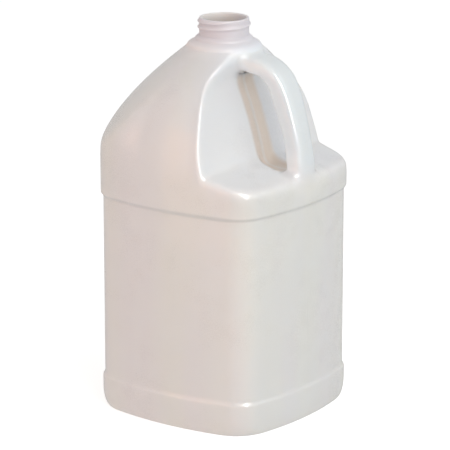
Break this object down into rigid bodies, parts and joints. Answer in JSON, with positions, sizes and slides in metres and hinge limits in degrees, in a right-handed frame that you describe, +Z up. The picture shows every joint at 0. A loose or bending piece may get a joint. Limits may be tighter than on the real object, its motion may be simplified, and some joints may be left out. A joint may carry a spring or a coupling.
{
  "type": "plastic jug",
  "caption": "Open square plastic jug with bowed sides, a domed shoulder, a threaded round neck and a hollow carrying handle set flush into one side.",
  "frame": {"origin": "middle of the foot, on the surface that the jug stands on", "axes": "+Z up along the neck's axis, +X towards the side that holds the handle"},
  "size_m": [0.1464, 0.1464, 0.2789],
  "materials": {
    "natural_plastic": "satin, milky translucent, unpigmented polyethylene"
  },
  "bodies": {
    "root": {"jug": "natural_plastic"}
  },
  "joints": []
}
